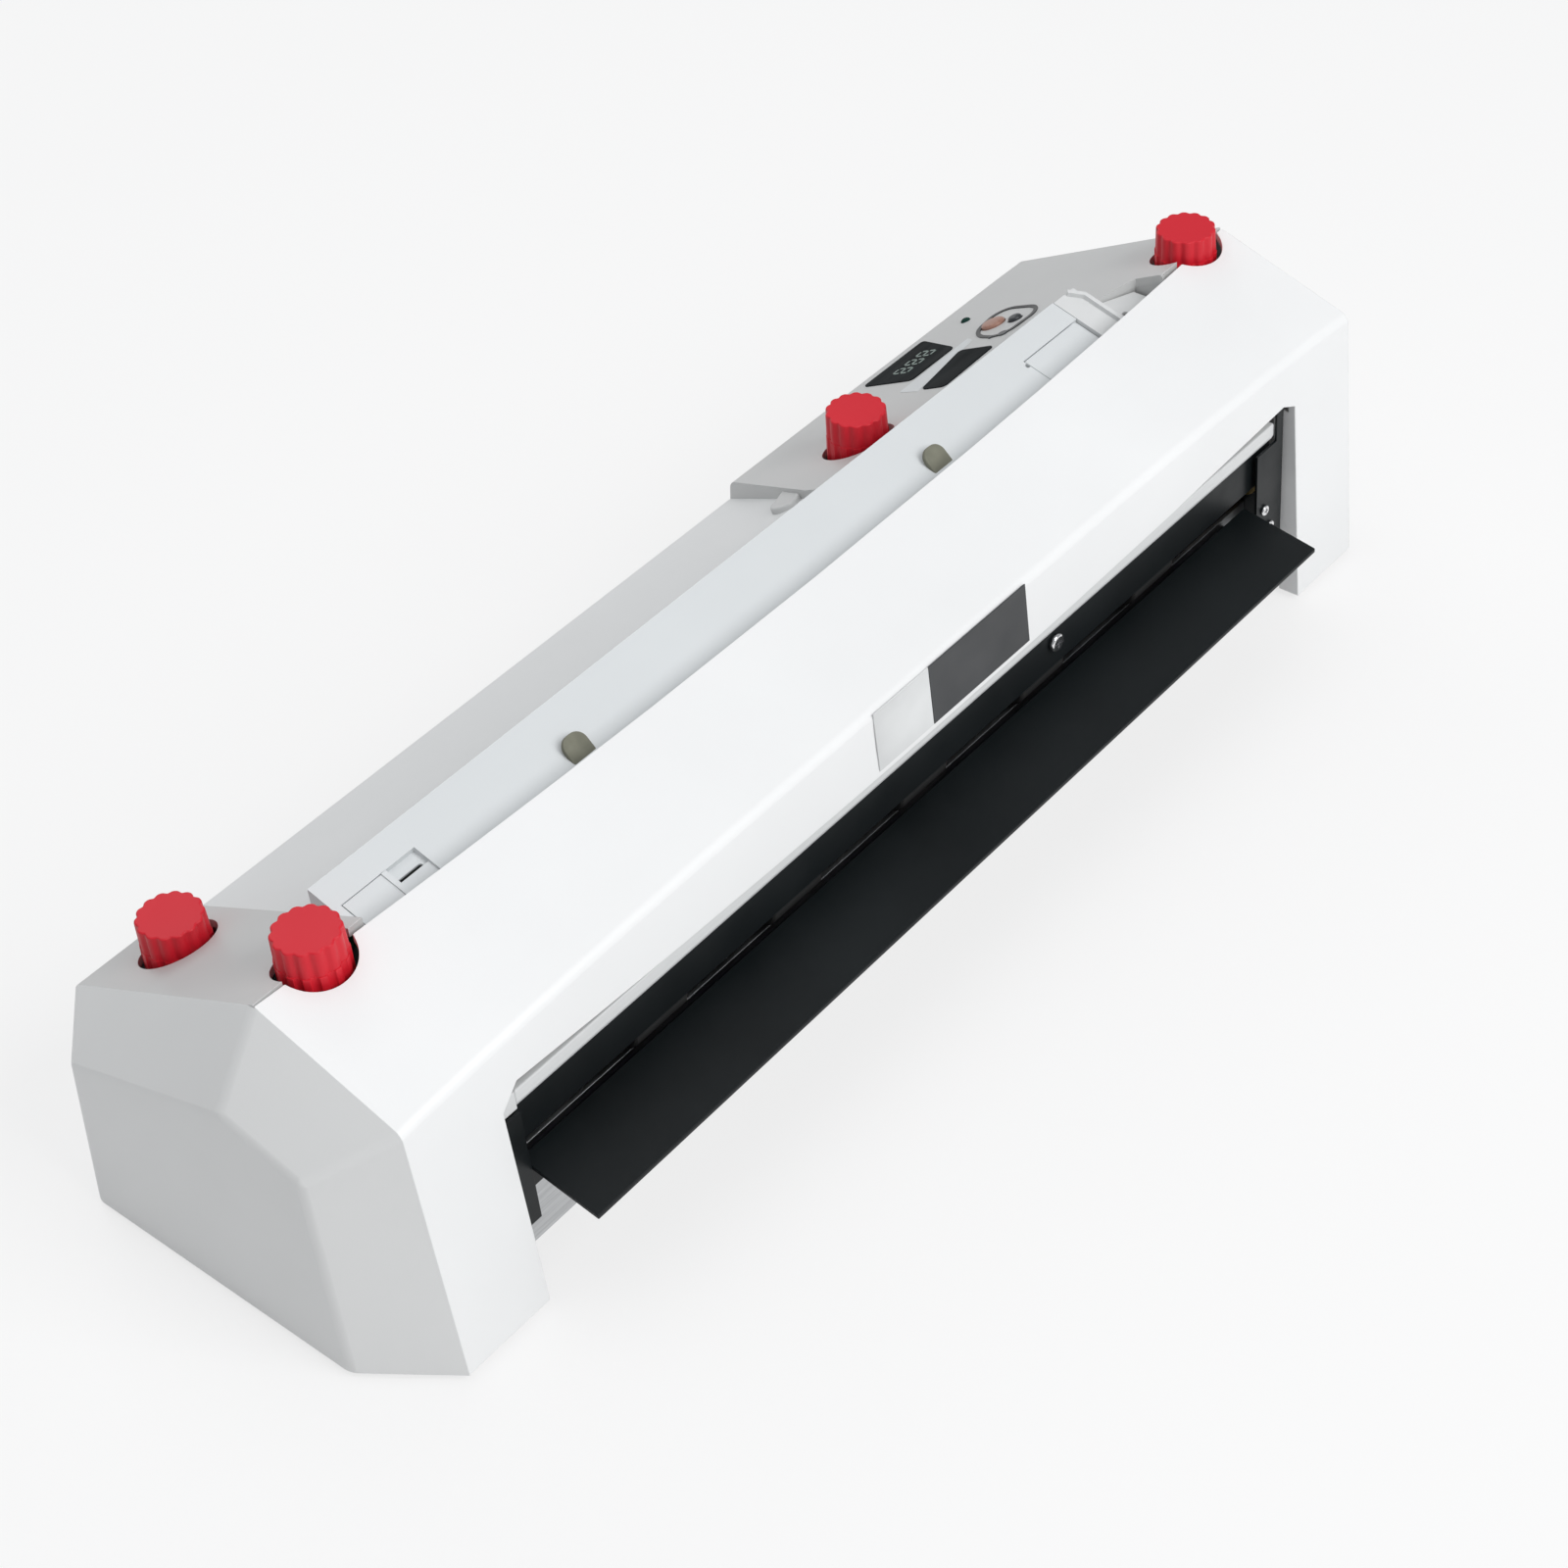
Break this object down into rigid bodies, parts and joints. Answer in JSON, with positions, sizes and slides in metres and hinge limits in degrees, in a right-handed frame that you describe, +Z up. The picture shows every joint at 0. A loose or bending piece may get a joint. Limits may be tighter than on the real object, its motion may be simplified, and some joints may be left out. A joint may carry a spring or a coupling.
{
  "type": "business card cutter",
  "caption": "Desktop electric card cutter: faceted cover, sloped infeed tray, round slitting knives, cross knife, card apron in front, console and knobs on top.",
  "frame": {"origin": "bottom centre of the bounding box, level with the soles of the feet", "axes": "+X to the right along the length seen from the card exit, +Y from the exit to the back wall, +Z up"},
  "size_m": [0.431, 0.152, 0.1098],
  "materials": {
    "white_cover": "fine matt moulded ABS",
    "grey_cover": "fine matt moulded ABS",
    "pale_grey": "fine matt moulded ABS",
    "black_sheet": "black stove enamel",
    "zinc_sheet": "zinc plated sheet steel",
    "ground_steel": "ground and polished",
    "knife_steel": "hardened and ground tool steel",
    "red_plastic": "semi-gloss moulded",
    "grip_rubber": "matt olive rubber",
    "black_rubber": "matt",
    "gear_nylon": "natural nylon",
    "brass": "turned",
    "motor_can": "black lacquer",
    "board": "green solder mask",
    "dark_window": "smoked gloss",
    "orange_key": "semi-gloss",
    "dark_key": "semi-gloss",
    "lamp": "clear tinted lens",
    "black_plastic": "fine matt",
    "bright_steel": "bright plated"
  },
  "bodies": {
    "root": {"base_pan": "zinc_sheet", "console_windows": "dark_window", "control_board": "board", "cut_motor": "motor_can", "exit_apron": "black_sheet", "exit_bar": "pale_grey", "exit_guard": "black_sheet", "feed_motor": "motor_can", "fixed_blade": "knife_steel", "frame_bars": "zinc_sheet", "friction_pads": "grip_rubber", "front_cover": "white_cover", "guard_screw": "bright_steel", "idler_studs": "ground_steel", "infeed_tray": "white_cover", "knob_brackets": "zinc_sheet", "left_end_cap": "grey_cover", "left_side_frame": "black_sheet", "power_inlet": "black_plastic", "power_supply": "board", "rear_cover": "grey_cover", "right_end_cap": "grey_cover", "right_fence": "pale_grey", "right_side_frame": "black_sheet", "rubber_feet": "black_rubber", "sensor_plate": "white_cover", "shaft_bushes": "brass", "slide_guides": "brass", "status_led": "lamp", "switch_bezel": "black_plastic"},
    "lower_slitter": {"lower_slitter_shaft": "ground_steel", "lower_slitter_knives": "knife_steel", "lower_slitter_gear": "gear_nylon"},
    "upper_slitter": {"upper_slitter_shaft": "ground_steel", "upper_slitter_knives": "knife_steel", "upper_slitter_gear": "gear_nylon"},
    "feed_roll": {"feed_shaft": "ground_steel", "feed_rollers": "black_rubber", "feed_gear": "gear_nylon"},
    "pinch_roll": {"pinch_shaft": "ground_steel", "pinch_rollers": "black_rubber"},
    "exit_roll": {"exit_shaft": "ground_steel", "exit_rollers": "black_rubber", "exit_gear": "gear_nylon"},
    "feed_idler": {"feed_idler_gear": "gear_nylon"},
    "exit_idler": {"exit_idler_gear": "gear_nylon"},
    "feed_motor_rotor": {"feed_motor_pinion": "brass"},
    "cross_knife": {"moving_blade": "knife_steel", "blade_carrier": "zinc_sheet"},
    "crank": {"crank_shaft": "ground_steel", "crank_gear": "gear_nylon"},
    "cut_motor_rotor": {"cut_motor_pinion": "brass"},
    "left_rear_knob": {"left_rear_knob": "red_plastic"},
    "left_front_knob": {"left_front_knob": "red_plastic"},
    "right_front_knob": {"right_front_knob": "red_plastic"},
    "console_knob": {"console_knob": "red_plastic"},
    "left_guide": {"left_guide": "pale_grey"},
    "start_key": {"start_key": "orange_key"},
    "stop_key": {"stop_key": "dark_key"},
    "mains_rocker": {"switch_rocker": "dark_key"}
  },
  "joints": [
    {"name": "lower_slitter_spin", "type": "hinge", "parent": "root", "child": "lower_slitter", "pos_m": [0, -0.02287, 0.06556], "axis": [1, 0, 0], "continuous": true},
    {"name": "upper_slitter_spin", "type": "hinge", "parent": "root", "child": "upper_slitter", "pos_m": [0, -0.03737, 0.07689], "axis": [1, 0, 0], "continuous": true},
    {"name": "feed_spin", "type": "hinge", "parent": "root", "child": "feed_roll", "pos_m": [0, -0.01341, 0.08101], "axis": [1, 0, 0], "continuous": true},
    {"name": "pinch_spin", "type": "hinge", "parent": "root", "child": "pinch_roll", "pos_m": [0, -0.0231, 0.08858], "axis": [1, 0, 0], "continuous": true},
    {"name": "exit_spin", "type": "hinge", "parent": "root", "child": "exit_roll", "pos_m": [0, -0.04313, 0.04459], "axis": [1, 0, 0], "continuous": true},
    {"name": "feed_idler_spin", "type": "hinge", "parent": "root", "child": "feed_idler", "pos_m": [0.17, -0.00333, 0.06707], "axis": [1, 0, 0], "continuous": true},
    {"name": "exit_idler_spin", "type": "hinge", "parent": "root", "child": "exit_idler", "pos_m": [0.17, -0.02822, 0.04754], "axis": [1, 0, 0], "continuous": true},
    {"name": "feed_motor_spin", "type": "hinge", "parent": "root", "child": "feed_motor_rotor", "pos_m": [0.17, 0.00881, 0.05792], "axis": [1, 0, 0], "continuous": true},
    {"name": "cross_knife_slide", "type": "slide", "parent": "root", "child": "cross_knife", "axis": [0, -0.788, 0.6157], "range_m": [0, 0.008]},
    {"name": "crank_spin", "type": "hinge", "parent": "root", "child": "crank", "pos_m": [0, -0.01599, 0.03734], "axis": [1, 0, 0], "range_deg": [0, 180]},
    {"name": "cut_motor_spin", "type": "hinge", "parent": "root", "child": "cut_motor_rotor", "pos_m": [-0.17, 0.01281, 0.03734], "axis": [1, 0, 0], "range_deg": [-900, 0]},
    {"name": "left_rear_knob_turn", "type": "hinge", "parent": "root", "child": "left_rear_knob", "pos_m": [-0.1791, 0.0462, 0.07383], "axis": [0, 0, 1], "range_deg": [-360, 360]},
    {"name": "left_front_knob_turn", "type": "hinge", "parent": "root", "child": "left_front_knob", "pos_m": [-0.1784, -0.0094, 0.10145], "axis": [0, 0, 1], "range_deg": [-360, 360]},
    {"name": "right_front_knob_turn", "type": "hinge", "parent": "root", "child": "right_front_knob", "pos_m": [0.1858, -0.0068, 0.10016], "axis": [0, 0, 1], "range_deg": [-360, 360]},
    {"name": "console_knob_turn", "type": "hinge", "parent": "root", "child": "console_knob", "pos_m": [0.0744, 0.031, 0.08138], "axis": [0, 0, 1], "range_deg": [-360, 360]},
    {"name": "left_guide_slide", "type": "slide", "parent": "root", "child": "left_guide", "axis": [1, 0, 0], "range_m": [0, 0.0098]},
    {"name": "start_key_press", "type": "slide", "parent": "root", "child": "start_key", "axis": [0, -0.4449, -0.8956], "range_m": [0, 0.001], "stiffness_N_per_m": 1200, "springref_m": -0.0005},
    {"name": "stop_key_press", "type": "slide", "parent": "root", "child": "stop_key", "axis": [0, -0.4449, -0.8956], "range_m": [0, 0.001], "stiffness_N_per_m": 1200, "springref_m": -0.0005},
    {"name": "mains_switch_rock", "type": "hinge", "parent": "root", "child": "mains_rocker", "pos_m": [0.105, 0.07013, 0.03178], "axis": [0, 0.1448, -0.9895], "range_deg": [0, 12]}
  ],
  "couplings": [
    {"joint": "upper_slitter_spin", "follows": "lower_slitter_spin", "ratio": -1},
    {"joint": "feed_spin", "follows": "lower_slitter_spin", "ratio": 1.3529},
    {"joint": "pinch_spin", "follows": "lower_slitter_spin", "ratio": -1.8941},
    {"joint": "exit_spin", "follows": "lower_slitter_spin", "ratio": 1.6429},
    {"joint": "feed_idler_spin", "follows": "lower_slitter_spin", "ratio": -0.88462},
    {"joint": "exit_idler_spin", "follows": "lower_slitter_spin", "ratio": -0.95833},
    {"joint": "feed_motor_spin", "follows": "lower_slitter_spin", "ratio": 1.9167},
    {"joint": "crank_spin", "follows": "cross_knife_slide", "rad_per_m": 392.66},
    {"joint": "cut_motor_spin", "follows": "cross_knife_slide", "rad_per_m": -1963.3}
  ]
}
